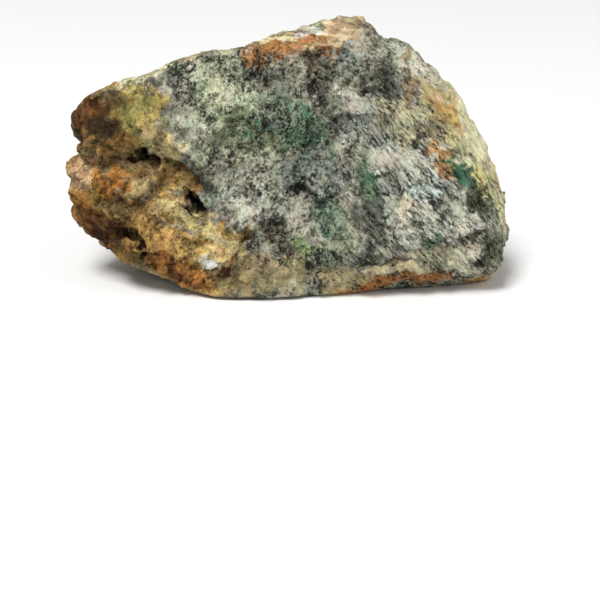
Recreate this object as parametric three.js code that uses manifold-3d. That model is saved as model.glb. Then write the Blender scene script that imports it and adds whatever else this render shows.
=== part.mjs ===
// A hand specimen of nickel ore: one broken lump of rock, resting on its flat underside.
// Millimetres, +Z up. The broad broken face looks along -Y and the length runs along X.
// The origin is on the resting face, under the middle of the stone.
import * as THREE from 'three';
import { mergeVertices } from 'three/addons/utils/BufferGeometryUtils.js';
import { ImprovedNoise } from 'three/addons/math/ImprovedNoise.js';
import Module from 'manifold-3d';

const wasm = await Module();
wasm.setup();

const groundBlock = 400;    // side of the box that trims the underside flat
const lumpSizes = [13, 6];  // spacing of the dents over the broken faces
const noise = new ImprovedNoise();

// Each face of a block has a name, a bearing (0 looks to the front, 90 to the right, 180 back),
// a tilt above level in degrees, and a point that it passes through.
const face = (name, bearing, tilt, through) => ({ name, bearing, tilt, through });

// The greater part of the stone.
const mainBlock = {
  heart: [2, 1, 29],
  stretch: [1.45, 0.85, 1],
  detail: 11,
  sharpness: 38,
  roughness: 0.7,
  seed: 3,
  faces: [
    face('broad front', 0, 11, [0, -21, 2]),
    face('yellow front left', -13, 9, [-27, -13.4, 40]),
    face('ochre upper right', 47, 43, [33, -13.6, 40]),
    face('ochre lower right', 60, 23, [36.5, -14.4, 36]),
    face('left end', -78, 10, [-39.4, -9, 40]),
    face('top left', -90, 67, [-34.9, -6, 46.7]),
    face('top', -84, 84, [-15, -6, 54]),
    face('top right', 80, 74, [26, -6, 55.2]),
    face('back of the top left', -137, 58, [-34.9, -5, 46.8]),
    face('back of the top', -169, 64, [-8, -5, 54.8]),
    face('right shoulder', 106, 42, [34.3, -4, 48.1]),
    face('right upper', 99, 24, [46.4, -4, 30.3]),
    face('right middle', 93, 12, [50.4, -4, 18.3]),
    face('right end', 84, -6, [50.8, -4, 11.5]),
    face('mouth roof', -60, -55, [-30, -16.3, 26.6]),
    face('front rim', 8, -38, [20, -20.2, 5.4]),
    face('back', 172, -4, [4, 24.4, 18]),
    face('back above', -172, 22, [4, 23.6, 31]),
    face('back right', 130, 14, [37, 15, 25]),
    face('back left', -132, 4, [-36, 14, 32]),
    face('back upper left', -156, 44, [-14, 13, 44]),
    face('under', 0, -90, [0, 0, 2]),
  ],
};

// The body behind the mouth, down to the resting face.
const core = {
  heart: [-20, 4, 22],
  stretch: [1.2, 0.9, 1],
  detail: 7,
  sharpness: 26,
  roughness: 0.8,
  seed: 7,
  faces: [
    face('front', -6, 8, [-30, -9.5, 25]),
    face('top left', -90, 66, [-36, -4, 44.8]),
    face('back of the top', -140, 56, [-34.9, -3, 45.8]),
    face('left', -94, 10, [-46.4, 4, 26]),
    face('under left', -80, -44, [-40.6, 0, 8]),
    face('under front left', -53, -60, [-25, -19.5, 3.5]),
    face('back left', -132, 2, [-37, 13.4, 28]),
    face('back', 176, -2, [-10, 23.8, 18]),
    face('back of the underside', -170, -52, [-14, 20, 3]),
    face('top', -150, 70, [-30, 8, 40]),
    face('right', 90, 0, [-8, 0, 16]),
    face('under', 0, -90, [-20, 0, -0.6]),
  ],
};

// The tan lower part, left of the middle: its upper edge is the yellow ridge.
const ridgeBlock = {
  heart: [-16, -2, 9],
  stretch: [1.2, 1, 0.7],
  detail: 7,
  sharpness: 20,
  roughness: 0.6,
  seed: 11,
  faces: [
    face('front', -2, 7, [-18, -20.8, 3]),
    face('ridge', 60, 62, [-22, -17.8, 21.4]),
    face('left cliff', -60, 24, [-33.3, -17, 19]),
    face('left', -90, -8, [-38, 0, 9]),
    face('crumbly underside', -53, -60, [-25, -19.5, 3.5]),
    face('right', 50, 20, [2, -20.2, 6]),
    face('back', 180, 10, [-16, 8, 10]),
    face('under', 0, -90, [-16, 0, 0]),
  ],
};

// The weathered left end below the mouth.
const leftBlock = {
  heart: [-37, -4, 17],
  stretch: [1, 1, 0.9],
  detail: 7,
  sharpness: 16,
  roughness: 0.8,
  seed: 17,
  faces: [
    face('brown flat', -40, -14, [-42, -13.4, 16]),
    face('front', -12, 12, [-36, -15.2, 24]),
    face('left', -92, -4, [-49.4, -4, 20]),
    face('under left', -70, -48, [-45.8, -8, 10.6]),
    face('under', -53, -60, [-25, -19.5, 3.5]),
    face('top', -20, 80, [-40, -8, 27.4]),
    face('back left', -128, -6, [-45.4, 3, 18]),
    face('back', 180, 0, [-36, 9, 16]),
    face('right', 90, 0, [-27, 0, 16]),
  ],
};

// The bottom layer of the right half, set back under the ledge.
const sole = {
  heart: [14, 0, 7],
  stretch: [1.6, 1, 0.5],
  detail: 7,
  sharpness: 26,
  roughness: 0.5,
  seed: 23,
  faces: [
    face('front', 3, 11, [14, -20, 4]),
    face('front rim', 12, -42, [20, -19, 4]),
    face('front right', 36, 2, [42, -15, 5]),
    face('right end', 84, -14, [49.2, -4, 6]),
    face('top', 0, 90, [14, 0, 14]),
    face('left', -80, -20, [-13, -10, 3]),
    face('back', 174, -10, [14, 18.4, 6]),
    face('back right', 130, -8, [36, 14, 6]),
    face('under', 0, -90, [14, 0, -0.6]),
  ],
};

// The streaked slab at the lower right, whose lower edge overhangs the foot of the stone.
const ledgeBlock = {
  heart: [36, -13.5, 20],
  stretch: [1.3, 0.6, 1],
  detail: 5,
  sharpness: 24,
  roughness: 0.5,
  seed: 37,
  faces: [
    face('front', 2, 16, [38, -20.4, 14]),
    face('left', -50, 26, [25, -18.6, 18]),
    face('under', 2, -46, [38, -20.4, 13.6]),
    face('ochre right', 60, 23, [36.7, -14.4, 36]),
    face('right end', 84, -6, [50.2, -4, 11.5]),
    face('top', 20, 52, [36, -16, 31]),
    face('back', 180, 0, [37, -8, 23]),
  ],
};

// The slab on top, right of the middle, with a rusty front.
const hump = {
  heart: [7, -4, 53],
  stretch: [1.5, 1.2, 0.6],
  detail: 6,
  sharpness: 28,
  roughness: 0.4,
  seed: 31,
  faces: [
    face('left slope', -84, 61, [-4, -6, 57.2]),
    face('back of the left slope', -132, 56, [-4, -5, 56.4]),
    face('top', -80, 73, [8, -6, 60]),
    face('back of the top', -145, 61, [8, -5, 60]),
    face('right slope', 92, 46, [16.6, -6, 59.4]),
    face('rusty front', -8, 50, [2, -9.2, 55.4]),
    face('front', 0, 11, [0, -19.8, 2]),
    face('left', -90, 30, [-10, 0, 54]),
    face('back', 180, 45, [8, 8, 54]),
    face('under', 0, -90, [0, 0, 46]),
  ],
};

// The brown knob at the upper left end.
const knob = {
  heart: [-41, -5, 38.6],
  stretch: [1, 1.2, 1],
  detail: 5,
  sharpness: 15,
  roughness: 0.8,
  seed: 41,
  faces: [
    face('left', -90, 10, [-49.8, -3, 38]),
    face('lower left', -80, -16, [-49.4, -3, 34.4]),
    face('front left', -48, 0, [-43, -8.6, 39]),
    face('front', -14, 4, [-39, -9.2, 39]),
    face('top', -90, 68, [-45, -5, 43.5]),
    face('back of the top', -137, 56, [-40, -5, 44.6]),
    face('under', -64, -64, [-44, -6, 30.6]),
    face('right', 90, 0, [-33, -3, 39]),
    face('back', 180, 0, [-41, 10, 39]),
  ],
};

// Rounded lumps and hollows: a middle point, half sizes, and a turn about Y in degrees.
const lumps = [
  { name: 'orange lobe', at: [-37.4, -12.4, 25.4], half: [4.6, 4.6, 3.8], turn: -20, detail: 4, seed: 61 },
  { name: 'left bump', at: [-44, -6, 25.8], half: [4, 5, 3.2], turn: 0, detail: 3, seed: 62 },
  { name: 'lower left bump', at: [-43.6, -8.4, 20.4], half: [5.8, 5.4, 4.4], turn: 0, detail: 4, seed: 63 },
  { name: 'shelf in the mouth', at: [-40, -6, 31], half: [7, 6, 3], turn: 8, detail: 4, seed: 64 },
  { name: 'rim under the knob', at: [-38.4, -9.4, 32.8], half: [7.4, 4.4, 1.9], turn: 6, detail: 3, seed: 66 },
  { name: 'quartz knob', at: [-17.8, -17.6, 9.8], half: [4.8, 4, 3.8], turn: 0, detail: 3, seed: 65 },
  { name: 'yellow ridge', at: [-20.4, -16.2, 16.8], half: [13.6, 4.4, 3.8], turn: 27, detail: 4, seed: 67 },
];

const hollows = [
  { name: 'deep hole', at: [-30.4, -14, 30.6], half: [3.4, 9, 2.2], turn: 20, detail: 2, seed: 51 },
  { name: 'dusty hollow', at: [-38.4, -14.4, 29.4], half: [7.4, 6.8, 2.4], turn: 2, detail: 3, seed: 56 },
  { name: 'crystal wall', at: [-23.6, -17.4, 26], half: [7, 4.6, 4.4], turn: 38, detail: 3, seed: 55 },
  { name: 'slot', at: [-20.6, -17, 21.2], half: [4.6, 6.4, 2], turn: 42, detail: 3, seed: 52 },
  { name: 'groove', at: [-11.4, -19.6, 15.8], half: [7, 2.4, 1], turn: 27, detail: 3, seed: 53 },
  { name: 'small hole', at: [-33.6, -16.4, 13], half: [3.4, 3, 1.8], turn: 35, detail: 2, seed: 54 },
  { name: 'dark scoop', at: [20.8, -14.4, 47.2], half: [6.2, 3.2, 4], turn: 42, detail: 3, seed: 57 },
  { name: 'under the ledge', at: [40, -21.6, 10], half: [11, 3.4, 3.4], turn: -4, detail: 3, seed: 58 },
];

function lookDirection({ bearing, tilt }) {
  const turn = THREE.MathUtils.degToRad(bearing);
  const rise = THREE.MathUtils.degToRad(tilt);
  return new THREE.Vector3(
    Math.sin(turn) * Math.cos(rise),
    -Math.cos(turn) * Math.cos(rise),
    Math.sin(rise),
  );
}

// Dents of several sizes, about -1 to 1.
function dents(point, seed) {
  return lumpSizes.reduce((sum, size) => (
    sum + noise.noise(point.x / size + seed, point.y / size - seed, point.z / size + 2 * seed)
  ), 0);
}

function solidOf(geometry) {
  geometry.deleteAttribute('normal');
  geometry.deleteAttribute('uv');
  const merged = mergeVertices(geometry, 1e-4);
  return new wasm.Manifold(new wasm.Mesh({
    numProp: 3,
    vertProperties: merged.attributes.position.array,
    triVerts: new Uint32Array(merged.index.array),
  }));
}

// A convex block: every point of a fine ball moves out to where its ray meets the nearest face.
// The sharpness says how crisp the edges between faces are.
function blockSolid({ heart, stretch, detail, sharpness, roughness, seed, faces }) {
  const middle = new THREE.Vector3(...heart);
  const walls = faces.map((f) => {
    const outward = lookDirection(f);
    return { outward, reach: outward.dot(new THREE.Vector3(...f.through).sub(middle)) };
  });
  const ball = new THREE.IcosahedronGeometry(1, detail);
  const places = ball.attributes.position;
  const ray = new THREE.Vector3();
  const point = new THREE.Vector3();
  for (let i = 0; i < places.count; i += 1) {
    ray.fromBufferAttribute(places, i).multiply(new THREE.Vector3(...stretch)).normalize();
    const crowd = walls.reduce((sum, { outward, reach }) => (
      sum + Math.max(0, outward.dot(ray) / reach) ** sharpness
    ), 0);
    const radius = crowd ** (-1 / sharpness);
    point.copy(ray).multiplyScalar(radius).add(middle);
    point.addScaledVector(ray, roughness * dents(point, seed));
    places.setXYZ(i, point.x, point.y, point.z);
  }
  return solidOf(ball);
}

function ballSolid({ at, half, turn, detail, seed }) {
  const ball = new THREE.IcosahedronGeometry(1, detail);
  const places = ball.attributes.position;
  const point = new THREE.Vector3();
  for (let i = 0; i < places.count; i += 1) {
    point.fromBufferAttribute(places, i);
    const swell = 1 + 0.3 * noise.noise(point.x * 1.6 + seed, point.y * 1.6, point.z * 1.6);
    places.setXYZ(i, point.x * swell, point.y * swell, point.z * swell);
  }
  ball.scale(...half);
  ball.rotateY(THREE.MathUtils.degToRad(turn));
  ball.translate(...at);
  return solidOf(ball);
}

function stoneGeometry() {
  const blocks = [mainBlock, core, ridgeBlock, leftBlock, sole, ledgeBlock, hump, knob].map(blockSolid);
  let stone = blocks.concat(lumps.map(ballSolid)).reduce((all, one) => all.add(one));
  for (const hollow of hollows) stone = stone.subtract(ballSolid(hollow));
  const ground = new THREE.BoxGeometry(groundBlock, groundBlock, groundBlock);
  stone = stone.subtract(solidOf(ground.translate(0, 0, -groundBlock / 2)));
  const { numProp, vertProperties, triVerts } = stone.getMesh();
  const geometry = new THREE.BufferGeometry();
  geometry.setAttribute('position', new THREE.Float32BufferAttribute(vertProperties, numProp));
  geometry.setIndex([...triVerts]);
  return geometry;
}

const stone = new THREE.Mesh(
  stoneGeometry(),
  new THREE.MeshStandardMaterial({ color: 0x8d9083, roughness: 0.85, metalness: 0 }),
);
stone.name = 'ore_stone';
stone.geometry.computeBoundingBox();
const middle = stone.geometry.boundingBox.getCenter(new THREE.Vector3());
stone.position.set(-middle.x, -middle.y, 0);

const specimen = new THREE.Group();
specimen.add(stone);
export default specimen;
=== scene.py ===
import math
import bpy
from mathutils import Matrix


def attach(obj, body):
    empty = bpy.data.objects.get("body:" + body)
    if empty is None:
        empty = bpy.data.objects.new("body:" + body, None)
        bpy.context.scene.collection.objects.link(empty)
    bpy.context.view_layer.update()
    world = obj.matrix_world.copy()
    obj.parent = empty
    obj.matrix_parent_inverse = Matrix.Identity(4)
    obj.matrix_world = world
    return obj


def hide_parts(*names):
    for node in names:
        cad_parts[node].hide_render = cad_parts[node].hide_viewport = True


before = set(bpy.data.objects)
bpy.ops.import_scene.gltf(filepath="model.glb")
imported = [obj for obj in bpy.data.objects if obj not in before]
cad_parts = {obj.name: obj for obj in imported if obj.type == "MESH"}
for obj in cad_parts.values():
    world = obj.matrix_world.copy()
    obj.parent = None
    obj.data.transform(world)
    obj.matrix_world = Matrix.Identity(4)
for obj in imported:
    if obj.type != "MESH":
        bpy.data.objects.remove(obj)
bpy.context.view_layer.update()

from types import SimpleNamespace

import bpy

scene = bpy.context.scene
mm = 0.001


# A wire wraps one socket, so that a pattern can be written as a sum.
class Wire:
    def __init__(self, tree, socket):
        self.tree = tree
        self.socket = socket

    # any node: its settings first, then the values or wires of its sockets
    def node(self, kind, settings=None, values=None, output=0):
        made = self.tree.nodes.new(kind)
        for name, value in (settings or {}).items():
            setattr(made, name, value)
        for name, value in (values or {}).items():
            if isinstance(value, Wire):
                self.tree.links.new(value.socket, made.inputs[name])
            else:
                made.inputs[name].default_value = value
        return Wire(self.tree, made.outputs[output])

    def isVector(self):
        return self.socket.type in ("VECTOR", "RGBA")

    # worked out on each axis where either part is a place or a colour
    def sums(self, operation, first, second):
        pair = (first, second)
        if any(isinstance(part, tuple) or isinstance(part, Wire) and part.isVector() for part in pair):
            spread = [(part,) * 3 if isinstance(part, (int, float)) else part for part in pair]
            return self.node("ShaderNodeVectorMath", {"operation": operation}, {0: spread[0], 1: spread[1]})
        return self.node("ShaderNodeMath", {"operation": operation}, {0: first, 1: second})

    def __add__(self, other):
        return self.sums("ADD", self, other)

    def __radd__(self, other):
        return self.sums("ADD", other, self)

    def __sub__(self, other):
        return self.sums("SUBTRACT", self, other)

    def __rsub__(self, other):
        return self.sums("SUBTRACT", other, self)

    def __mul__(self, other):
        return self.sums("MULTIPLY", self, other)

    def __rmul__(self, other):
        return self.sums("MULTIPLY", other, self)

    def __truediv__(self, other):
        return self.sums("DIVIDE", self, other)

    def least(self, other):
        return self.sums("MINIMUM", self, other)

    def most(self, other):
        return self.sums("MAXIMUM", self, other)

    # how far from 0, whichever way
    def size(self):
        return self.node("ShaderNodeMath", {"operation": "ABSOLUTE"}, {0: self})

    def length(self):
        return self.node("ShaderNodeVectorMath", {"operation": "LENGTH"}, {0: self}, 1)

    def dot(self, other):
        return self.node("ShaderNodeVectorMath", {"operation": "DOT_PRODUCT"}, {0: self, 1: other}, 1)

    def axis(self, index):
        return self.node("ShaderNodeSeparateXYZ", {}, {0: self}, index)

    # rises softly from 0 at low to 1 at high
    def step(self, low, high):
        return self.node("ShaderNodeMapRange", {"interpolation_type": "SMOOTHSTEP"},
                         {0: self, 1: low, 2: high})

    # the low colour where this is 0, the high one where it is 1
    def between(self, low, high):
        return self.node("ShaderNodeMix", {"data_type": "RGBA"}, {0: self, 6: low, 7: high}, 2)

    # this colour with another laid over it, where the mask is 1
    def mix(self, other, mask):
        return mask.between(self, other)

    # turned about the axis that points from front to back, in degrees
    def turned(self, degrees):
        return self.node("ShaderNodeVectorRotate", {"rotation_type": "Y_AXIS"},
                         {0: self, 3: math.radians(degrees)})

    # cloudy noise of about that width in mm, 0 to 1 around 0.5
    def cloud(self, width, detail, rough=0.55, output=0):
        return self.node("ShaderNodeTexNoise", {}, {"Vector": self, "Scale": 1 / width, "Detail": detail,
                                                    "Roughness": rough}, output)

    # cloudy noise that is turned, and drawn out along the axes where squeeze is small
    def drawn(self, turn, squeeze, width, detail, rough):
        return (self.turned(turn) * squeeze).cloud(width, detail, rough)

    # a different cloud for each axis, to push a place about, by up to half of reach in mm
    def sway(self, width, detail, rough, reach):
        return (self.cloud(width, detail, rough, 1) - 0.5) * reach

    # a pattern of cells of about that width: 0 how far the middle of the cell is, 1 chances, 2 where it is
    def cells(self, width, output=0):
        return self.node("ShaderNodeTexVoronoi", {}, {"Vector": self, "Scale": 1 / width}, output)

    # three numbers from 0 to 1 that are the same all over a cell
    def cellChance(self, width):
        return self.cells(width, 1)

    # from the middle of the cell to here
    def cellAway(self, width):
        return self - self.cells(width, 2)


# a colour as a paint program shows it, 0 to 255, as the light the surface sends back
def paint(red, green, blue):
    return tuple((part / 255 / 12.92 if part < 10 else ((part / 255 + 0.055) / 1.055) ** 2.4)
                 for part in (red, green, blue)) + (1.0,)


# 1 in the middle of an egg-shaped place, 0 on its rim, below 0 outside
def spot(place, at, half, turn=0):
    away = place - at
    if turn:
        away = away.turned(turn)
    return 1 - (away / half).length()


def useOnly(piece):
    bpy.ops.object.select_all(action="DESELECT")
    piece.select_set(True)
    bpy.context.view_layer.objects.active = piece


def applyModifier(piece, kind, **settings):
    useOnly(piece)
    modifier = piece.modifiers.new(kind.lower(), kind)
    for name, value in settings.items():
        setattr(modifier, name, value)
    bpy.ops.object.modifier_apply(modifier=modifier.name)


# the stone's shape: lengths in mm
oreShape = {
    "mergeWithin": 0.002,
    # a finer voxel takes the piece past 200,000 triangles
    "voxel": 0.49,
    # how strongly and how many times the even skin is smoothed
    "smoothness": 0.5,
    "smoothing": 4,
    # unwrapping: an angle in radians, and a share of the map
    "seamAngle": 1.15,
    "seamGap": 0.003,
    # the broken skin fades out towards the floor: the height where it begins and where it is full
    "fadeAbove": (0.4, 3.5),
    # noise that bends the patterns: width, detail, roughness, how far it pushes
    "wideBend": (9, 2, 0.5, 10),
    "fineBend": (2.5, 2, 0.5, 2.5),
    # width of a facet, how far it may tilt, how far it may step
    "facets": [(15.0, 0.1, 0.4), (8.0, 0.16, 0.25), (3.8, 0.18, 0.16)],
    # a cloud is width, detail, roughness, and turn and squeeze come first where it is drawn out
    "grainCloud": (4, 3, 0.5),
    "grain": 1.8,
    # where streaks begin and are full: to the right, downwards, to the front; and what is left elsewhere
    "streakCloud": (32, (1.0, 1.0, 0.2), 1.8, 3, 0.5),
    "streaks": 1.4,
    "streakedRight": (6, 22),
    "streakedBelow": (42, 34),
    "streakedFront": (0.2, -0.35),
    "streaksElsewhere": 0.2,
    "layerCloud": (-10, (0.12, 0.4, 1.0), 1.5, 2, 0.5),
    "layers": 2.4,
    "hump": ((5, -8, 57.5), (17, 12, 5.5), 12),
    "humpEdge": (0, 0.35),
    # what faces up, and not to the right, is worn smoother by this share
    "wornTop": 0.55,
    "facingUp": (0.45, 0.8),
    "facingLeft": (0.3, -0.1),
    # the left end crumbles: how far left, how far down, and a place at its foot with its strength
    "crumbWidth": 5.0,
    "crumbs": 1.1,
    "crackCloud": (6, 3, 0.55),
    "crackWidth": 0.035,
    "cracks": 0.8,
    "crumblyLeft": (22, 30),
    "crumblyBelow": (36, 32),
    "crumblyFoot": ((-24, -20, 6), (16, 12, 7)),
    "crumblyFootShare": 0.8,
    "dentEdge": (0, 0.7),
    # at, half sizes, turn in degrees (below 0 falls to the right), how deep (below 0 stands proud)
    "dents": {
        "blackHole": ((-20.5, -16.5, 19.8), (3.2, 5, 1.8), -38, 2.0),
        "mouthHole": ((-31, -11.2, 28.9), (4, 5, 2.6), -25, -1.6),
        "pitLine": ((6, -20, 20), (0.9, 4, 6), 15, 0.7),
        "ledgeLine": ((40, -22.5, 14.2), (9, 4, 0.8), 3, 1.2),
        "ledgeLip": ((40, -22.5, 16), (9, 4, 1.3), 3, -0.8),
        "shoulderLine": ((26.8, -10, 49.5), (0.9, 8, 7), -25, 0.8),
        "tealLine": ((8.8, -16.5, 34), (0.9, 4, 7), -12, 0.6),
        "veinStep": ((43, -17.5, 21), (2.4, 5, 5.5), 38, 1.0),
        "scoopSlot": ((17, -14, 48), (3, 5, 1.0), 10, 0.8),
        "blackPit": ((2.5, -19, 24.5), (3.2, 4, 1.3), -10, 0.9),
        "yellowNotch": ((-26.5, -16.5, 37), (2.2, 4, 3.4), 20, 0.8),
        "greenGroove": ((16.5, -18.5, 26.5), (1.2, 4, 6.5), 10, 0.7),
        "lowCrack": ((16.5, -22, 8), (7, 4, 0.7), 12, 0.9),
        "darkCorner": ((45, -20, 11), (3.5, 5, 1.0), 45, 0.9),
        "foldBelow": ((0, -21, 15), (7, 5, 1.3), -40, 0.9),
        "creamLip": ((22, -21, 6.2), (15, 5, 1.7), 6, -0.9),
        "lipGroove": ((20, -22, 8.8), (13, 4, 0.8), 8, 0.6),
        "whiteStreak": ((25.5, -18, 32), (7, 4, 2.4), -8, -0.6),
        "hollowFill": ((-38.5, -10.4, 29.3), (7.5, 4.5, 3.2), 0, -3.0),
        "pitFill": ((-34.5, -18, 12), (4.5, 4, 3), 0, -1.4),
        "mintSwell": ((-13, -16, 42.5), (9, 5, 6.5), -20, -0.6),
        "knobSwell": ((-17.8, -24, 9.7), (2.6, 4, 1.7), 0, -0.6),
        "beltLine": ((-25.5, -22, 17.7), (5.5, 5, 0.7), -4, 0.4),
        "lipCrack": ((21, -22.2, 8.6), (7.5, 5, 0.6), 6, 0.5),
    },
}


# rough grain all over, with flat facets of several widths
def facets(place, loose):
    broken = (place.cloud(*oreShape["grainCloud"]) - 0.5) * oreShape["grain"]
    for width, tilt, lift in oreShape["facets"]:
        chance = loose.cellChance(width) - 0.5
        broken = broken + loose.cellAway(width).dot(chance) * tilt + chance.axis(2) * lift
    return broken


# the left end crumbles into chips with cracks between them
def crumble(loose):
    chips = (0.4 - loose.cells(oreShape["crumbWidth"])) * oreShape["crumbs"]
    cloud = loose.cloud(*oreShape["crackCloud"]) - 0.5
    cracks = cloud.size().step(oreShape["crackWidth"], 0) * oreShape["cracks"]
    leftward = (0 - loose.axis(0)).step(*oreShape["crumblyLeft"])
    leftEnd = leftward * loose.axis(2).step(*oreShape["crumblyBelow"])
    foot = spot(loose, *oreShape["crumblyFoot"]).step(0, 0.4) * oreShape["crumblyFootShare"]
    return (chips - cracks) * leftEnd.most(foot)


# slanting streaks, strongest low on the right of the front
def slantStreaks(along, loose, facing):
    front = facing.axis(1).step(*oreShape["streakedFront"])
    rightward = loose.axis(0).step(*oreShape["streakedRight"])
    right = rightward * loose.axis(2).step(*oreShape["streakedBelow"]) * front
    rest = oreShape["streaksElsewhere"]
    streaks = (along.drawn(*oreShape["streakCloud"]) - 0.5) * oreShape["streaks"]
    return streaks * (right * (1 - rest) + rest)


# how far the surface stands out at a place, in mm
def relief(place, facing):
    fine = place.sway(*oreShape["fineBend"])
    loose = place + place.sway(*oreShape["wideBend"]) + fine
    along = place + fine * 0.2
    out = facets(place, loose) + crumble(loose) + slantStreaks(along, loose, facing)

    onTop = facing.axis(2).step(*oreShape["facingUp"]) * facing.axis(0).step(*oreShape["facingLeft"])
    out = out * (1 - onTop * oreShape["wornTop"])
    layers = (along.drawn(*oreShape["layerCloud"]) - 0.5) * oreShape["layers"]
    out = out + layers * spot(loose, *oreShape["hump"]).step(*oreShape["humpEdge"])

    for at, half, turn, deep in oreShape["dents"].values():
        out = out - spot(loose, at, half, turn).step(*oreShape["dentEdge"]) * deep
    return out


def addRelief(piece):
    tree = bpy.data.node_groups.new("oreRelief", "GeometryNodeTree")
    tree.interface.new_socket("Geometry", in_out="INPUT", socket_type="NodeSocketGeometry")
    tree.interface.new_socket("Geometry", in_out="OUTPUT", socket_type="NodeSocketGeometry")
    start = Wire(tree, tree.nodes.new("NodeGroupInput").outputs[0])
    position = start.node("GeometryNodeInputPosition")
    facing = start.node("GeometryNodeInputNormal")
    place = position * (1 / mm)
    height = relief(place, facing) * place.axis(2).step(*oreShape["fadeAbove"])
    moved = position + facing * (height * mm)
    # nothing may sink below the floor
    moved = moved.most((-1.0, -1.0, 0.0))
    stone = start.node("GeometryNodeStoreNamedAttribute", {"data_type": "FLOAT", "domain": "POINT"},
                       {"Geometry": start, "Name": "height", "Value": height})
    stone = stone.node("GeometryNodeSetPosition", {}, {"Geometry": stone, "Position": moved})
    end = tree.nodes.new("NodeGroupOutput")
    tree.links.new(stone.socket, end.inputs[0])
    applyModifier(piece, "NODES", node_group=tree)


def copySolid():
    stone = bpy.data.objects.new("oreLump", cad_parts["ore_stone"].data.copy())
    scene.collection.objects.link(stone)
    useOnly(stone)
    bpy.ops.object.mode_set(mode="EDIT")
    bpy.ops.mesh.select_all(action="SELECT")
    bpy.ops.mesh.remove_doubles(threshold=oreShape["mergeWithin"] * mm)
    bpy.ops.object.mode_set(mode="OBJECT")
    return stone


def unwrap(stone):
    useOnly(stone)
    while stone.data.uv_layers:
        stone.data.uv_layers.remove(stone.data.uv_layers[0])
    stone.data.uv_layers.new(name="OFBake")
    bpy.ops.object.mode_set(mode="EDIT")
    bpy.ops.mesh.select_all(action="SELECT")
    bpy.ops.uv.smart_project(angle_limit=oreShape["seamAngle"], island_margin=oreShape["seamGap"])
    bpy.ops.object.mode_set(mode="OBJECT")


def shapeOre():
    stone = copySolid()
    applyModifier(stone, "REMESH", mode="VOXEL", voxel_size=oreShape["voxel"] * mm)
    applyModifier(stone, "SMOOTH", factor=oreShape["smoothness"], iterations=oreShape["smoothing"])
    print("ore: even skin of", len(stone.data.polygons), "faces")
    unwrap(stone)
    print("ore: unwrapped")
    addRelief(stone)
    bpy.ops.object.shade_smooth()
    print("ore: broken surface raised")
    return stone


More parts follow.
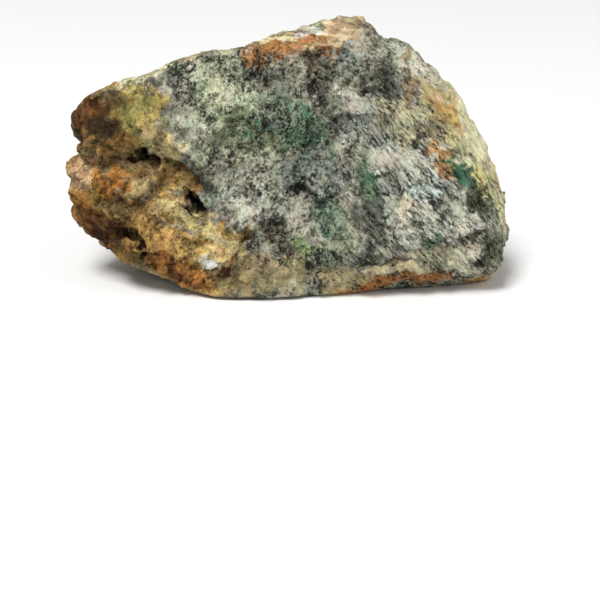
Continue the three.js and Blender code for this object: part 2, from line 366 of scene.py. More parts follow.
# the stone's finish: widths and places in mm
orePaint = {
    "paints": {
        "white": (225, 220, 212),
        "ivory": (225, 220, 182),
        "bone": (205, 200, 182),
        "paleGrey": (180, 183, 172),
        "iceGrey": (178, 195, 190),
        "coolGrey": (140, 148, 145),
        "ash": (162, 161, 148),
        "stone": (162, 156, 132),
        "steel": (104, 116, 112),
        "greenGrey": (102, 108, 98),
        "darkGrey": (87, 94, 84),
        "slate": (76, 73, 62),
        "soot": (40, 46, 38),
        # black is painted shade, for the deepest hole
        "black": (16, 12, 8),
        "cream": (205, 196, 155),
        "straw": (220, 212, 146),
        "ochre": (205, 186, 134),
        "sand": (180, 176, 143),
        "khaki": (164, 150, 110),
        "buff": (208, 188, 154),
        "peach": (198, 166, 130),
        "tan": (174, 150, 110),
        "dun": (165, 138, 90),
        "honey": (183, 150, 90),
        "amber": (203, 163, 100),
        "clay": (181, 138, 86),
        "orange": (189, 133, 66),
        "earth": (152, 120, 66),
        "dust": (137, 117, 82),
        "cocoa": (132, 98, 62),
        # a dark brown for painted shade, in the mouth's hollow
        "paintedShade": (92, 72, 46),
        "rust": (160, 108, 56),
        "darkRust": (86, 42, 20),
        "brick": (162, 62, 12),
        "brown": (108, 69, 32),
        "umber": (58, 44, 26),
        "olive": (176, 166, 100),
        "mint": (174, 184, 155),
        "sage": (142, 150, 124),
        "lime": (140, 168, 108),
        "seaGreen": (104, 126, 110),
        "fern": (111, 140, 118),
        "teal": (76, 107, 82),
        "emerald": (30, 98, 72),
        "deepGreen": (38, 86, 64),
        "darkGreen": (71, 84, 58),
        "moss": (66, 82, 46),
        "rock": (134, 137, 124),
        "paleRock": (168, 168, 152),
        "darkRock": (94, 102, 90),
        "darkGrain": (26, 28, 23),
        "darkEarth": (48, 30, 16),
        "paleGrain": (216, 214, 196),
    },
    # what is left of the red, green and blue in the end, and the most that the surface sends back
    "depth": (0.85, 0.83, 0.765),
    "palest": (0.85, 0.85, 0.85),
    # the dark and the bright grains of a patch against its colour
    "dimmest": 0.08,
    "dimmestEarth": 0.28,
    "brightest": 1.95,
    # how strongly each pattern shows
    "flecks": 0.95,
    "crystals": 0.37,
    "clumps": 1.15,
    "chipTone": 0.16,
    "grainShift": 0.12,
    # the sum of the patterns where a grain is darkest and brightest
    "toneEdge": (-0.2, 0.2),
    "paleShare": 0.18,
    # pale crystal edges, partly painted highlights, and pale grains: how bright they are, how pale, and how
    # much less pale in brown places
    "gleam": 1.7,
    "gleamLift": 0.02,
    "gleamPale": 0.75,
    "gleamBrown": 0.55,
    # noise that bends the patterns: width, detail, roughness, how far it pushes
    "wideBend": (9, 3, 0.6, 10),
    "midBend": (2.4, 2, 0.5, 5),
    "fineBend": (2.4, 4, 0.7, 6),
    # clouds: width, detail, roughness, and turn and squeeze come first where they are drawn out
    "fineGrain": (0.85, 5, 0.8),
    "slantGrain": (42, (1.0, 1.0, 0.2), 0.55, 4, 0.8),
    "steepGrain": (-8, (1.0, 1.0, 0.4), 0.65, 4, 0.8),
    "layerGrain": (-12, (0.15, 0.5, 1.0), 1.0, 4, 0.7),
    "clumpCloud": (-15, (1.0, 1.0, 0.6), 3.4, 6, 0.75),
    "slantClumps": (42, (1.0, 1.0, 0.26), 2.4, 6, 0.75),
    "slantLines": (40, (1.0, 1.0, 0.2), 1.6, 3, 0.6),
    "bumpGrains": (0.75, 3, 0.75),
    # fine grain: how much of it slants at the right and elsewhere, how much is steep at the left
    "slantAtRight": 0.85,
    "slantElsewhere": 0.1,
    "steepAtLeft": 0.35,
    "layerContrast": 1.3,
    # marks: their cloud, where they start and are full, strength, how much weaker in calm places
    "paleLines": ((2.4, 3, 0.6), (0.024, 0.006), 0.6, 0.4),
    "darkLines": ((3.4, 4, 0.6), (0.017, 0.004), 0.8),
    "darkGrains": ((0.8, 3, 0.7), (0.6, 0.65), 0.85, 0.5),
    "paleGrains": ((0.7, 3, 0.7), (0.6, 0.66), 0.6, 0.3),
    # lines come in places of their own: their cloud, where the pale and the dark ones are full
    "linedCloud": (3.5, 3, 0.6),
    "paleLined": (0.48, 0.56),
    "darkLined": (0.52, 0.42),
    # widths of the wide and the narrow crystals, and of the needles that they turn into at the right
    "crystalWidths": (1.2, 0.5),
    "needleWidths": (0.8, 0.4),
    "needleLay": (42, (1.0, 1.0, 0.3)),
    # single grains at the right: turn, squeeze, and how much narrower they are
    "grainLay": (42, (1.0, 1.0, 0.24)),
    "grainNarrow": 0.72,
    # small flat faces: width, how far they may tilt, and the places between which that doubles leftwards
    "chips": [(2.6, 1.1), (1.2, 1.2)],
    "crumblyLeft": (-10, -24),
    "bumpStrength": 0.7,
    "bumpDepth": 0.5,
    "grainBump": 2.6,
    "streakyBump": (4, 24),
    # drifts of the colour: width, detail, roughness, then how much red, green and blue they add
    "warmCloud": (3.6, 2, 0.5),
    "warmDrift": (0.24, 0.0, -0.3),
    "greenCloud": (4.4, 2, 0.5),
    "greenDrift": (-0.34, 0.2, -0.08),
    # dark grains are this rough, bright ones less by this much, and how much both shine
    "roughness": 0.9,
    "brightSmoother": 0.15,
    "shine": 0.2,
    # a fresh break and an old skin, each a colour with stains over it:
    # colour, where its cloud is taken from, width, detail, where it starts and is full, strength
    "fresh": "rock",
    "freshStains": [
        ("paleRock", (0, 0, 0), 7, 3, 0.42, 0.6, 1),
        ("darkRock", (40, 0, 0), 6, 3, 0.52, 0.64, 1),
    ],
    "crust": "tan",
    "crustStains": [
        ("cream", (0, 0, 0), 16, 4, 0.46, 0.58, 1),
        ("sage", (0, 50, 0), 19, 4, 0.47, 0.53, 1),
        ("cocoa", (0, 0, 60), 17, 5, 0.53, 0.58, 0.85),
        ("rust", (50, 0, 0), 12, 5, 0.57, 0.62, 0.85),
    ],
    # the old skin: its cloud, how far the cloud moves its edge, where it starts and is full
    "crustCloud": (14, 5, 0.6),
    "crustDrift": 3,
    "crustEdge": (-0.25, 0.1),
    # streaks start and are full to the right and downwards, and this much of them is left above
    "streakedRight": (4, 24),
    "streakedBelow": (50, 38),
    "streakedAbove": 0.45,
    # the earthy left: how its edge leans, where it starts and is full, and its share on the hump
    "earthLean": 0.47,
    "earthEdge": (0, 9),
    "earthOnHump": 0.8,
    "humpEdge": (-0.05, 0.2),
    # patches have ragged edges: how much grain, cloud and clumps move them, and less for grounds
    "raggedCloud": (3, 3, 0.6),
    "raggedGrain": 0.6,
    "raggedDrift": 1.1,
    "raggedClumps": 0.9,
    "groundRagged": 0.25,
    # how much the grain and the clumps fade in calm places, and how calm earth and old skin are
    "calmGrain": 0.65,
    "calmClumps": 0.6,
    "calmEarth": 0.75,
    "calmCrust": 0.8,
    # how much the clumps fade on the hump, and the clumps and the grain at the right
    "humpClumps": 0.7,
    "rightClumps": 0.25,
    "rightGrain": 0.1,
    # how soft the edge of a place is: where it starts and is full, from its rim inwards
    "patchEdge": (-0.1, 0.3),
    "zoneEdge": (-0.1, 0.4),
    "grainyEdge": (-0.1, 0.6),
    "fleckCloud": (3, 5, 0.7),
    "fleckEdge": (0.5, 0.58),
    "fleckShare": 0.85,
    # painted shade in creases: the height where it starts and is full, how dark it is, and how much more in
    # earth
    "creased": (0.2, -0.9),
    "paintedShade": 0.25,
    "earthCreaseShade": 0.3,
    # at, half sizes, turn, colour: what lies under the patches, without holes
    "grounds": {
        "upperLeftEarth": ((-39, -10, 39), (14, 15, 12), 0, "dust"),
        "leftEarth": ((-42, -12, 18), (19, 18, 18), 0, "earth"),
        "lowLeftEarth": ((-22, -20, 10), (15, 14, 11), -25, "honey"),
        "rightPale": ((31, -15, 27), (24, 14, 22), -50, "paleGrey"),
        "rightSlope": ((42, -8, 36), (9, 14, 20), 34, "cream"),
        "hump": ((5, -7, 58), (17, 14, 6), 12, "buff"),
    },
    # at, half sizes, turn (below 0 falls to the right), colour, strength
    "patches": {
        "greyShoulder": ((26, -11, 50.5), (8, 9, 5), -45, "paleGrey", 0.9),
        "humpFoot": ((12, -13, 53), (7, 6, 2.4), 10, "iceGrey", 0.8),
        "upperLeftGrey": ((-20, -14, 46), (8, 8, 6), 0, "ash", 0.8),
        "mintBloom": ((-14, -16, 43), (8.5, 8, 6), -20, "mint", 0.95),
        "mintTop": ((-14, -14, 50), (5, 8, 3.8), 0, "mint", 0.9),
        "moss": ((-8.5, -17, 37), (8, 8, 5), -10, "moss", 0.95),
        "tealCloud": ((3, -17, 36.5), (6, 8, 8.5), 20, "teal", 0.95),
        "tealTop": ((-0.5, -16, 42.5), (5.5, 8, 4), 0, "seaGreen", 0.9),
        "topGrey": ((-4, -14.5, 48.5), (7, 8, 3.6), 0, "greenGrey", 0.85),
        "darkUnderHump": ((7.6, -14.5, 48.4), (3.6, 6, 4), 0, "slate", 0.95),
        "greyCentre": ((5, -18, 28.6), (8, 6, 5.2), 0, "steel", 0.8),
        "ochreRight": ((35, -12, 40), (5.5, 9, 10), 35, "ochre", 0.9),
        "paleYellow": ((27, -16, 39.6), (9, 8, 4.6), -15, "sand", 0.85),
        "paleSlope": ((42, -12, 31), (5, 9, 9), 30, "ivory", 0.9),
        "paleRim": ((48, -8, 20), (3.5, 10, 10), 0, "cream", 0.9),
        "yellowSlope": ((42.5, -14, 25), (2.8, 7, 6), 30, "straw", 0.9),
        "rustySpot": ((34.2, -18, 30.8), (2.6, 5, 6.2), 32, "clay", 0.85),
        "whiteStreak": ((25, -18, 32.3), (9, 6, 2.8), -5, "paleGrey", 0.95),
        "yellowDot": ((25.5, -17, 35), (2, 5, 1.6), 0, "sand", 0.9),
        "blueGrey": ((31, -19, 26), (5, 6, 6), 25, "iceGrey", 0.9),
        "yellowGrey": ((27.5, -20, 20), (2.8, 5, 3.4), 20, "bone", 0.85),
        "greenBand": ((17.5, -18.5, 26), (3, 6, 7.5), 8, "teal", 0.95),
        "greenLow": ((10.5, -20, 19), (3.4, 6, 8.8), 12, "fern", 0.7),
        "palePatch": ((8.2, -19, 24.8), (2.4, 5, 2), 0, "coolGrey", 0.9),
        "darkFan": ((18.5, -20.5, 16.7), (4, 6, 5.5), 20, "darkGrey", 0.85),
        "limePale": ((12.6, -21.4, 13.2), (3.4, 5, 2.4), 0, "sage", 0.8),
        "greenDot": ((31.6, -21, 14.6), (2.6, 5, 2.8), 20, "teal", 0.95),
        "streakWhite": ((39, -20, 17.5), (8, 6, 3.8), -30, "paleGrey", 0.9),
        "greenVein": ((38.8, -18, 27), (1.5, 5, 5.5), 30, "deepGreen", 0.95),
        "darkVein": ((43, -18, 20.4), (3.0, 6, 5.8), 38, "darkGreen", 1.0),
        "darkLow": ((-1, -21.5, 14.5), (6, 6, 3.6), -35, "umber", 0.9),
        "whiteLow": ((-10, -20, 22), (6, 6, 6), 0, "paleGrey", 0.85),
        "whiteMiddle": ((2.8, -20.3, 19.4), (6.4, 6, 2.4), -42, "ash", 0.8),
        "blackPit": ((2.8, -19, 24.3), (4, 6, 1.8), -8, "soot", 1.0),
        "midLow": ((7, -22.2, 8.4), (9, 6, 3.2), 0, "seaGreen", 0.85),
        "rightLow": ((33, -21, 10), (9, 6, 3.4), 5, "stone", 0.85),
        "rightDark": ((45, -20.5, 11), (3.4, 8, 4.2), 30, "darkGreen", 0.95),
        "tanFoot": ((-4, -23, 6.4), (16, 6, 4.6), 3, "khaki", 0.9),
        "creamEdge": ((24, -22, 7.4), (8, 6, 1.9), -4, "cream", 0.9),
        "rustRim": ((20, -19, 2.4), (10, 9, 3.2), 10, "rust", 0.95),
        "rustRimRight": ((45, -14, 2), (6, 9, 3), 0, "clay", 0.95),
        "tanTop": ((13, -8, 58.4), (8, 10, 4), 10, "buff", 0.9),
        "rustHump": ((-3, -13, 53.6), (8, 7, 2.4), 8, "rust", 0.95),
        "rustDrop": ((7.4, -13.5, 53), (1.8, 5, 3), -25, "rust", 0.9),
        "topBrown": ((-33, -4, 48), (20, 12, 3.2), 20, "ivory", 0.85),
        "yellowFace": ((-33.2, -15, 39.6), (6.8, 8, 7), -10, "olive", 1.0),
        "yellowFoot": ((-27, -16.5, 34), (6, 6, 3), -30, "ochre", 0.9),
        "yellowLine": ((-12, -17.7, 32), (9, 6, 1.3), 0, "mint", 0.6),
        "brownLobe": ((-45.6, -8, 38.4), (9.6, 14, 8.2), 0, "brown", 1.0),
        "brownTop": ((-42, -4, 45.2), (9, 10, 2.4), 20, "clay", 0.9),
        "brownRim": ((-38, -12, 33.4), (8, 8, 2.4), 0, "earth", 0.95),
        # dusty brown, darkened as painted shade in the hollow under the lobe
        "dustyHollowShade": ((-38, -12, 29.8), (7.6, 9, 2.6), 0, "dust", 0.95),
        "orangeLobe": ((-39, -17, 26), (4.8, 7, 3.6), 0, "orange", 0.95),
        "leftBump": ((-46.4, -12, 25), (5, 9, 5), 0, "peach", 0.9),
        "leftBumpLow": ((-46, -13, 20), (4.4, 8, 4), 0, "orange", 0.9),
        "greyBump": ((-36.4, -18.5, 20), (5, 6, 2.6), 0, "dun", 0.85),
        # a brown face, painted darker as the shade under the flat face that turns down and to the left
        "brownFlatShade": ((-42.5, -15, 14.4), (7.4, 10, 5.4), -35, "brown", 1.0),
        "yellowRidge": ((-20, -21, 18.5), (13, 6, 2.6), -27, "ochre", 0.95),
        "ridgeOrange": ((-30, -19, 23), (3.2, 5, 3), -50, "amber", 0.95),
        "greyBelt": ((-25.5, -22, 17.7), (5.5, 5, 0.9), -4, "stone", 0.8),
        "tanLow": ((-27, -21.5, 13), (8, 6, 4.6), -30, "amber", 0.95),
        "creamLow": ((-16, -23, 10.5), (6.5, 6, 4.5), -20, "ochre", 0.85),
        "ridgeGrey": ((-32.5, -19, 25), (2.6, 6, 4), 40, "tan", 0.9),
        "brownCorner": ((-40.5, -12, 36.4), (3.4, 8, 4), 0, "umber", 0.9),
        "brownWall": ((-24, -16, 26.5), (6, 7, 5), -40, "honey", 0.95),
        "rustFoot": ((-25, -22, 7), (9, 8, 3.4), -28, "rust", 0.95),
        "rustDark": ((-14.7, -23.5, 7), (2.2, 5, 2), 0, "darkRust", 0.95),
        "orangeDot": ((-20.3, -23.4, 13.2), (2.8, 4, 1.4), 0, "amber", 0.9),
        "quartzKnob": ((-17.8, -23.5, 9.8), (3, 4, 2.2), 0, "white", 1.0),
        "redDot": ((-12.2, -22.7, 10), (1.1, 4, 1.1), 0, "brick", 0.9),
        "pinkDot": ((2.3, -15.4, 44), (1, 4, 0.9), 0, "peach", 0.6),
        # the scoop at the top right: its darker minerals, and painted shade of the facet that turns away
        "darkScoopShade": ((21.8, -14, 47.4), (5.4, 6, 4.2), -42, "greenGrey", 0.9),
        "blackComma": ((17.4, -15.3, 46.2), (2.8, 5, 1.2), -12, "soot", 0.95),
        "brownLoop": ((26.2, -13.6, 46), (2.2, 5, 4), -20, "dust", 0.85),
        "lineTop": ((26.6, -10, 50), (1.3, 8, 6), -25, "dust", 0.85),
        "darkDrop": ((8.5, -15.8, 43.7), (2.6, 5, 1.8), -20, "darkGrey", 0.9),
        "darkSide": ((11.6, -15.9, 44.2), (1.8, 5, 1.6), 0, "darkGrey", 0.85),
        "yellowComma": ((29.6, -17.3, 35.8), (2.6, 5, 1.1), 22, "soot", 0.9),
        "paleEdgeUp": ((33, -6, 47.5), (2.6, 8, 5), 38, "bone", 0.85),
        "paleEdge": ((40.5, -6, 38.6), (2.8, 9, 7), 34, "ivory", 0.85),
        "whiteSpot": ((29, -18.5, 29.5), (4, 5, 2.8), -20, "paleGrey", 0.85),
        "tealDeep": ((2.8, -16.4, 36.6), (2.6, 5, 3.4), 25, "deepGreen", 0.85),
        "humpWhite": ((5, -9, 58.2), (3.8, 6, 2.0), 12, "white", 0.9),
        "pinkCrystal": ((-36, -19.8, 13.8), (1.3, 4, 1.2), 0, "peach", 0.75),
        "ochreVein": ((35.2, -12, 40.6), (1.5, 6, 5.5), 38, "amber", 0.7),
        "rustStreak": ((3.6, -12, 55.8), (5.5, 6, 1.2), 10, "rust", 0.85),
        "underRust": ((5.4, -14, 51.4), (2.6, 5, 2), 0, "umber", 0.9),
        "humpEnd": ((18.3, -10.5, 57.6), (1.8, 6, 2.4), 0, "bone", 0.6),
        "rustRimMid": ((31.5, -19, 3.8), (8, 9, 2.4), 0, "rust", 0.9),
        "tanSlope": ((13.5, -22, 4), (7, 6, 2.6), 14, "khaki", 0.9),
        # painted shade in the notch at the lower right, black-green
        "blackNotchShade": ((45, -21, 11), (4.8, 6, 1.2), 42, "soot", 0.95),
        "ledgeShade": ((44.5, -21.5, 13.4), (3.4, 5, 1.6), 5, "greenGrey", 0.85),
        "ledgeWhite": ((39.5, -22.5, 15.6), (8, 6, 0.8), 3, "white", 0.8),
        "paleBlock": ((39.5, -22, 9.6), (3.4, 5, 4.2), 0, "bone", 0.9),
        "darkPocket": ((35, -21.5, 8.4), (1.2, 4, 1.8), 0, "slate", 0.9),
        "greyBeltEnd": ((-15.5, -22.8, 15.2), (5, 5, 0.9), -35, "stone", 0.75),
        "limePatch": ((5.1, -22, 12.3), (1.8, 5, 4.8), 18, "lime", 0.9),
        "lipCrack": ((21, -22.2, 8.6), (7.5, 5, 0.5), 6, "umber", 0.8),
        # painted shade: the mouth's hollow is painted dark brown
        "mouthHole": ((-30.8, -13, 29.8), (3, 8, 1.5), -30, "paintedShade", 1.0),
        # painted shade: the deep hole under the crystal wall is painted black
        "blackHole": ((-20.6, -16.5, 20.2), (3.6, 7, 2.0), -40, "black", 1.0),
        # painted shade: the small pit low at the left is painted dark brown
        "smallHoleShade": ((-32.2, -18.5, 10), (2.2, 6, 1.5), -20, "umber", 1.0),
        "ridgeShade": ((-12.5, -20.5, 16), (6, 5, 1.6), -30, "earth", 0.9),
    },
    # at, half sizes, turn, how many dark grains more (below 0: pale grains)
    "grainy": {
        "darkStreakLeft": ((-24, -15, 46), (2, 6, 5.5), 10, 0.7),
        "darkTop": ((-5, -14.5, 49.5), (6, 6, 3), 0, 0.6),
        "darkKnot": ((8, -15, 45.5), (4, 6, 3.6), -30, 0.8),
        "darkScoop": ((21, -14, 47), (6, 7, 5), -35, 0.6),
        "darkTeal": ((3, -17, 36), (4, 6, 6), 20, 0.5),
        "darkStem": ((13.5, -18, 29), (1.6, 6, 6), 5, 1.0),
        "darkFan": ((18.5, -20.5, 17), (4, 6, 5), 20, 0.5),
        "darkBelt": ((33, -20, 21), (8, 6, 1.6), -50, 0.8),
        "darkFoot": ((6, -22, 8), (8, 6, 2.6), 0, 0.4),
        "darkEdge": ((-20, -18, 27), (2, 6, 4.6), 25, 0.7),
        "paleCentre": ((14.5, -15.5, 43.5), (5.5, 6, 3.2), 0, -1.0),
        "paleMint": ((-15, -16, 43), (6, 6, 4.5), 0, -0.4),
        "paleStreak": ((24, -18, 32.5), (9, 6, 2.6), -5, -0.8),
        "paleLow": ((3, -20.3, 19), (6, 6, 3), -45, -0.4),
        "paleRight": ((39, -20, 17.5), (7, 6, 3.2), -30, -0.6),
        "paleLeft": ((-19, -17, 34), (6, 6, 4), 0, -0.6),
        "paleWhiteLow": ((-9, -20, 22), (5, 6, 5), 20, -0.7),
        "paleBlock": ((38, -21, 9), (5, 6, 3.4), 0, -0.8),
        "paleShoulder": ((27, -10, 51.5), (8, 7, 3.6), -40, -1.3),
        "paleSide": ((42, -9, 37), (5, 12, 16), 34, -0.7),
        "paleEnd": ((50, -8, 20), (4, 12, 10), 0, -0.5),
    },
    # at, half sizes, turn: where the grain is calmer
    "calm": {
        "ochreSide": ((40, -8, 37), (9, 14, 18), 34),
        "creamEdge": ((21, -22, 7), (15, 6, 2.4), 6),
        "yellowLeft": ((-35, -13, 38), (12, 12, 9), 0),
        "tanFoot": ((-4, -23, 5), (15, 7, 4), 3),
        "humpTop": ((12, -8, 58.5), (12, 12, 5), 10),
        "quartzKnob": ((-17.8, -23.5, 9.8), (3.4, 5, 2.6), 0),
        "brownFlatShade": ((-42.5, -15, 14.4), (8, 10, 6), -35),
    },
    # at, half sizes, turn: where dark grains are brown instead of black
    "earth": {
        "lowRim": ((28, -17, 2.6), (24, 10, 4.4), 3),
        "rustySpot": ((34.5, -16, 31), (3.6, 8, 7.4), 32),
        "ochreRight": ((36, -12, 40), (5.5, 9, 10), 35),
        "yellowSlope": ((43, -13, 26), (3.4, 8, 8), 30),
    },
    # at, half sizes, turn: where emerald flecks show
    "emeralds": {
        "middle": ((6, -17, 37), (4, 6, 8), 25),
        "lowMiddle": ((10, -20, 19), (3.5, 6, 7), 15),
        "band": ((18, -18.5, 27), (2.5, 6, 7), 8),
        "vein": ((39, -18, 27), (1.8, 5, 6), 30),
        "right": ((32, -21, 14.5), (3, 5, 3), 20),
        "mossy": ((-7, -17, 38), (6, 6, 4), 0),
    },
}


def tint(name):
    return paint(*orePaint["paints"][name])


# a colour with cloudy stains over it
def stained(loose, name, stains):
    colour = tint(name)
    for shade, shift, width, detail, start, full, strength in stains:
        mask = (loose + shift).cloud(width, detail).step(start, full) * strength
        colour = mask.between(colour, tint(shade))
    return colour


# 1 inside any of these places, 0 outside
def within(loose, places, ragged):
    inside = 0.0
    for at, half, turn in places.values():
        inside = (spot(loose, at, half, turn) + ragged).step(*orePaint["zoneEdge"]).most(inside)
    return inside


def grainField(loose):
    field = 0.0
    for at, half, turn, more in orePaint["grainy"].values():
        field = field + spot(loose, at, half, turn).step(*orePaint["grainyEdge"]) * more
    return field


# what the patterns of the rock share: places that noise has bent, and where the rock changes its kind
def readRock(tree):
    rock = SimpleNamespace()
    rock.place = Wire(tree, tree.nodes.new("ShaderNodeTexCoord").outputs["Object"]) * (1 / mm)
    rock.facing = rock.place.node("ShaderNodeNewGeometry", {}, {}, 1)
    rock.fine = rock.place.sway(*orePaint["fineBend"])
    rock.slack = rock.place + rock.fine * 0.12
    rock.loose = rock.place + rock.place.sway(*orePaint["wideBend"]) + rock.place.sway(*orePaint["midBend"])
    across = rock.loose.axis(0)
    up = rock.loose.axis(2)

    # streaked at the right, layered on the hump, earthy at the left, brown where stains are
    above = orePaint["streakedAbove"]
    down = up.step(*orePaint["streakedBelow"]) * (1 - above) + above
    rock.right = across.step(*orePaint["streakedRight"]) * down
    rock.onHump = spot(rock.loose, *orePaint["grounds"]["hump"][:3]).step(*orePaint["humpEdge"])
    left = (0 - across - up * orePaint["earthLean"]).step(*orePaint["earthEdge"])
    rock.earthy = left.most(rock.onHump * orePaint["earthOnHump"])
    rock.brownish = rock.earthy.most(within(rock.loose, orePaint["earth"], 0.0))

    # 1 on the old weathered sides, 0 on the fresh break
    drift = (rock.loose.cloud(*orePaint["crustCloud"]) - 0.5) * orePaint["crustDrift"]
    rock.crusty = (rock.facing.axis(1) + drift).step(*orePaint["crustEdge"])

    rock.grain = rock.place.cloud(*orePaint["fineGrain"])
    rock.clumps = clumps(rock)
    drift = (rock.place.cloud(*orePaint["raggedCloud"]) - 0.5) * orePaint["raggedDrift"]
    ragged = (rock.grain - 0.5) * orePaint["raggedGrain"] + drift
    rock.ragged = ragged + rock.clumps * orePaint["raggedClumps"]
    rock.more = grainField(rock.loose)
    calm = within(rock.loose, orePaint["calm"], rock.ragged)
    rock.calm = calm.most(rock.earthy * orePaint["calmEarth"]).most(rock.crusty * orePaint["calmCrust"])
    return rock


# lighter and darker clumps of many grains, around 0
def clumps(rock):
    clump = rock.slack.drawn(*orePaint["clumpCloud"])
    slant = rock.slack.drawn(*orePaint["slantClumps"])
    clump = clump + (slant - clump) * rock.right - 0.5
    return clump * (1 - rock.onHump * orePaint["humpClumps"]) * (1 - rock.right * orePaint["rightClumps"])


# fine grains, around 0: slanting at the right, steep at the left, in layers on the hump
def flecks(rock):
    slant = rock.slack.drawn(*orePaint["slantGrain"])
    steep = rock.slack.drawn(*orePaint["steepGrain"])
    layered = rock.slack.drawn(*orePaint["layerGrain"])
    slanting = rock.right * orePaint["slantAtRight"] + orePaint["slantElsewhere"]
    fleck = rock.grain + (slant - rock.grain) * slanting
    fleck = fleck + (steep - fleck) * (1 - rock.right) * orePaint["steepAtLeft"]
    layered = (layered - 0.5) * orePaint["layerContrast"] + 0.5
    return fleck + (layered - fleck) * rock.onHump - 0.5


# each crystal's own lightness, around 0, from wide crystals and narrow ones
def crystalTone(place, wide, narrow):
    wideShare = 0.45
    tone = place.cellChance(wide).axis(0) * wideShare
    return tone + place.cellChance(narrow).axis(1) * (1 - wideShare) - 0.5


# flat crystals, around 0, which become needles at the right
def crystals(rock):
    bent = rock.place + rock.fine * 0.15
    turn, squeeze = orePaint["needleLay"]
    flat = crystalTone(bent, *orePaint["crystalWidths"])
    needles = crystalTone(bent.turned(turn) * squeeze, *orePaint["needleWidths"])
    return flat + (needles - flat) * rock.right


# single mineral grains of that width, drawn out into streaks towards the right
def grains(place, right, width, detail, rough):
    turn, squeeze = orePaint["grainLay"]
    rounded = place.cloud(width, detail, rough)
    streaky = place.drawn(turn, squeeze, width * orePaint["grainNarrow"], detail, rough)
    return rounded + (streaky - rounded) * right


# how light each grain is against its patch: 0 dark, 1 bright
def grainTone(rock):
    light = flecks(rock) * orePaint["flecks"] + crystals(rock) * orePaint["crystals"]
    light = light * (1 - rock.calm * orePaint["calmGrain"]) * (1 - rock.right * orePaint["rightGrain"])
    light = light + rock.clumps * orePaint["clumps"] * (1 - rock.calm * orePaint["calmClumps"])
    light = light - rock.more * orePaint["grainShift"]
    broadest = orePaint["chips"][0][0]
    chip = rock.place.cellChance(broadest).axis(1) - 0.5
    return (light + chip * rock.earthy * orePaint["chipTone"]).step(*orePaint["toneEdge"])


def addPatches(colour, rock):
    for at, half, turn, shade in orePaint["grounds"].values():
        mask = spot(rock.loose, at, half, turn) + rock.ragged * orePaint["groundRagged"]
        mask = mask.step(*orePaint["patchEdge"])
        colour = colour.mix(tint(shade), mask)
    for at, half, turn, shade, strength in orePaint["patches"].values():
        mask = (spot(rock.loose, at, half, turn) + rock.ragged).step(*orePaint["patchEdge"])
        colour = colour.mix(tint(shade), mask * strength)
    return colour


# the colour of each place, before its grains
def skinColour(rock):
    fresh = stained(rock.loose, orePaint["fresh"], orePaint["freshStains"])
    crust = stained(rock.loose, orePaint["crust"], orePaint["crustStains"])
    colour = addPatches(fresh.mix(crust, rock.crusty), rock)
    flecked = (rock.loose + (0, 30, 0)).cloud(*orePaint["fleckCloud"]).step(*orePaint["fleckEdge"])
    green = within(rock.loose, orePaint["emeralds"], rock.ragged) * flecked
    colour = colour.mix(tint("emerald"), green * orePaint["fleckShare"])
    warm = rock.place.cloud(*orePaint["warmCloud"]) - 0.5
    cool = (rock.place + (0, 0, 90)).cloud(*orePaint["greenCloud"]) - 0.5
    return colour * (warm * orePaint["warmDrift"] + cool * orePaint["greenDrift"] + 1)


# the colour with its dark and bright grains
def addGrains(colour, tone, rock):
    dimmest = orePaint["dimmest"]
    dim = colour * (rock.earthy * (orePaint["dimmestEarth"] - dimmest) + dimmest)
    share = orePaint["paleShare"]
    bright = (colour * orePaint["brightest"]).mix(tint("paleGrain"), share - share * rock.brownish)
    return dim.mix(bright, tone)


# the colour of bright edges, partly painted highlights, and of pale grains: paler than what is around them,
# and less so in brown places
def gleamOf(colour, rock):
    brighter = colour * orePaint["gleam"] + orePaint["gleamLift"]
    return brighter.mix(tint("paleGrain"), orePaint["gleamPale"] - orePaint["gleamBrown"] * rock.brownish)


# thin pale edges of crystals, partly painted highlights, and thin dark cracks
def addLines(colour, gleam, rock):
    lined = rock.place.cloud(*orePaint["linedCloud"])
    cloud, edge, strength, weaker = orePaint["paleLines"]
    edges = (rock.place + rock.fine * 0.1 + (0, 70, 0)).cloud(*cloud) - 0.5
    edges = edges.size().step(*edge) * lined.step(*orePaint["paleLined"])
    colour = colour.mix(gleam, edges * (strength - rock.calm * weaker))

    cloud, edge, strength = orePaint["darkLines"]
    cracks = (rock.slack + (0, 0, 70)).cloud(*cloud)
    cracks = cracks + (rock.slack.drawn(*orePaint["slantLines"]) - cracks) * rock.right - 0.5
    cracks = cracks.size().step(*edge) * lined.step(*orePaint["darkLined"])
    return colour * (1 - cracks * strength)


# single dark and pale grains: the dark ones are brown in brown places, and calm places have fewer
def addSingleGrains(colour, gleam, rock):
    shade = rock.brownish.between(tint("darkGrain"), tint("darkEarth"))
    cloud, edge, strength, weaker = orePaint["darkGrains"]
    dark = grains(rock.slack + (70, 0, 0), rock.right, *cloud) + rock.more * 0.03 - rock.calm * 0.02
    colour = colour.mix(shade, dark.step(*edge) * (strength - rock.calm * weaker))
    cloud, edge, strength, weaker = orePaint["paleGrains"]
    pale = grains(rock.slack + (0, 70, 70), rock.right, *cloud) - rock.more * 0.02 - rock.earthy * 0.02
    return colour.mix(gleam, pale.step(*edge) * (strength - rock.calm * weaker))


# painted shade: creases and holes of the relief are darkened, most of all in the earthy places
def addCreaseShade(colour, rock):
    height = rock.place.node("ShaderNodeAttribute", {"attribute_name": "height"}, {}, 2)
    creaseShade = rock.earthy * orePaint["earthCreaseShade"] + orePaint["paintedShade"]
    return colour * (1 - height.step(*orePaint["creased"]) * creaseShade)


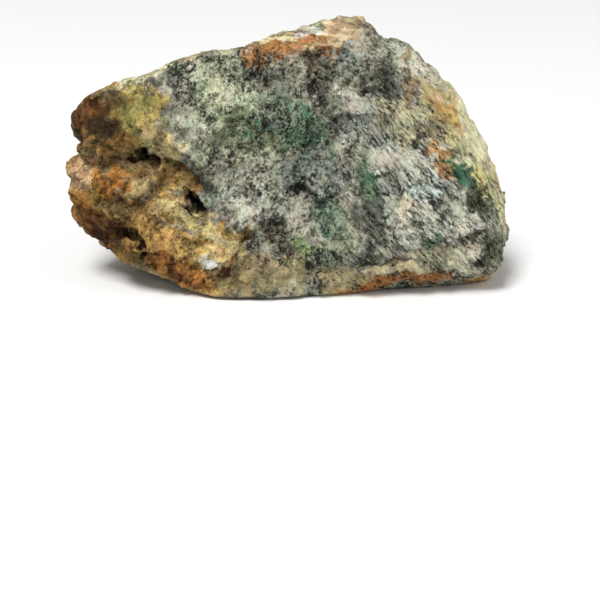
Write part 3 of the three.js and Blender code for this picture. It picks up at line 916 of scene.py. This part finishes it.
# grains and chips too small for the mesh: the chips tilt twice as far at the crumbly left
def rockBump(place):
    across = place.axis(0)
    crumbly = 1 + across.step(*orePaint["crumblyLeft"])
    streaky = across.step(*orePaint["streakyBump"])
    rough = grains(place, streaky, *orePaint["bumpGrains"]) * orePaint["grainBump"]
    for width, tilt in orePaint["chips"]:
        rough = rough + place.cellAway(width).dot(place.cellChance(width) - 0.5) * crumbly * tilt
    return place.node("ShaderNodeBump", {}, {"Strength": orePaint["bumpStrength"],
                                             "Distance": orePaint["bumpDepth"] * mm, "Height": rough})


def stoneFinish():
    material = bpy.data.materials.new("nickelOreRock")
    material.use_nodes = True
    tree = material.node_tree
    tree.nodes.clear()
    rock = readRock(tree)
    tone = grainTone(rock)
    colour = addGrains(skinColour(rock), tone, rock)
    gleam = gleamOf(colour, rock)
    colour = addLines(colour, gleam, rock)
    colour = addSingleGrains(colour, gleam, rock)
    # painted shade in the creases and holes
    colour = addCreaseShade(colour, rock)
    colour = (colour * orePaint["depth"]).least(orePaint["palest"])
    roughness = orePaint["roughness"] - tone * orePaint["brightSmoother"]
    shader = rock.place.node("ShaderNodeBsdfPrincipled", {}, {
        "Base Color": colour,
        "Roughness": roughness,
        "Specular IOR Level": orePaint["shine"],
        "Normal": rockBump(rock.place),
    })
    end = tree.nodes.new("ShaderNodeOutputMaterial")
    tree.links.new(shader.socket, end.inputs["Surface"])
    return material


# the floor, the light and the camera: lengths in metres
studio = {
    "floorSize": 8.0,
    "floorColour": (0.9, 0.9, 0.895, 1.0),
    "floorRoughness": 0.9,
    "skyColour": (1.0, 1.0, 1.0, 1.0),
    "skyStrength": 0.35,
    # where a panel hangs, how wide it is, its watts: it faces the middle of the floor
    "panels": {
        "overhead": ((-0.5, -0.8, 1.8), 0.8, 38.8),
        "side": ((1.5, -0.5, 0.8), 1.0, 6.25),
    },
    "cameraAt": (0.003, -0.3186, 0.1146),
    # how many degrees the camera looks down, then its lens and film width in mm
    "cameraDown": 21.204,
    "lens": 85.0,
    "film": 36.0,
    "nearest": 0.01,
}


def layFloor():
    bpy.ops.object.select_all(action="DESELECT")
    bpy.ops.mesh.primitive_plane_add(size=studio["floorSize"])
    floor = bpy.context.active_object
    floor.name = "paleFloor"
    material = bpy.data.materials.new("paleFloor")
    material.use_nodes = True
    shader = material.node_tree.nodes["Principled BSDF"]
    shader.inputs["Base Color"].default_value = studio["floorColour"]
    shader.inputs["Roughness"].default_value = studio["floorRoughness"]
    floor.data.materials.append(material)


def lightStudio():
    world = bpy.data.worlds.new("studioSky")
    world.use_nodes = True
    sky = world.node_tree.nodes["Background"]
    sky.inputs["Color"].default_value = studio["skyColour"]
    sky.inputs["Strength"].default_value = studio["skyStrength"]
    scene.world = world
    for name, (at, side, watts) in studio["panels"].items():
        bpy.ops.object.light_add(type="AREA", location=at)
        panel = bpy.context.active_object
        panel.name = name + "Panel"
        panel.data.size = side
        panel.data.energy = watts
        aim = -panel.location.normalized()
        panel.rotation_euler = aim.to_track_quat("-Z", "Y").to_euler()


def placeCamera():
    bpy.ops.object.camera_add(location=studio["cameraAt"],
                              rotation=(math.radians(90 - studio["cameraDown"]), 0, 0))
    camera = bpy.context.active_object
    camera.data.lens = studio["lens"]
    camera.data.sensor_width = studio["film"]
    camera.data.clip_start = studio["nearest"]
    scene.camera = camera
    scene.view_settings.view_transform = "Standard"


stone = shapeOre()
stone.data.materials.clear()
stone.data.materials.append(stoneFinish())
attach(stone, "root")
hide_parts("ore_stone")
print("ore: painted")

layFloor()
lightStudio()
placeCamera()
print("studio: floor, light and camera in place")
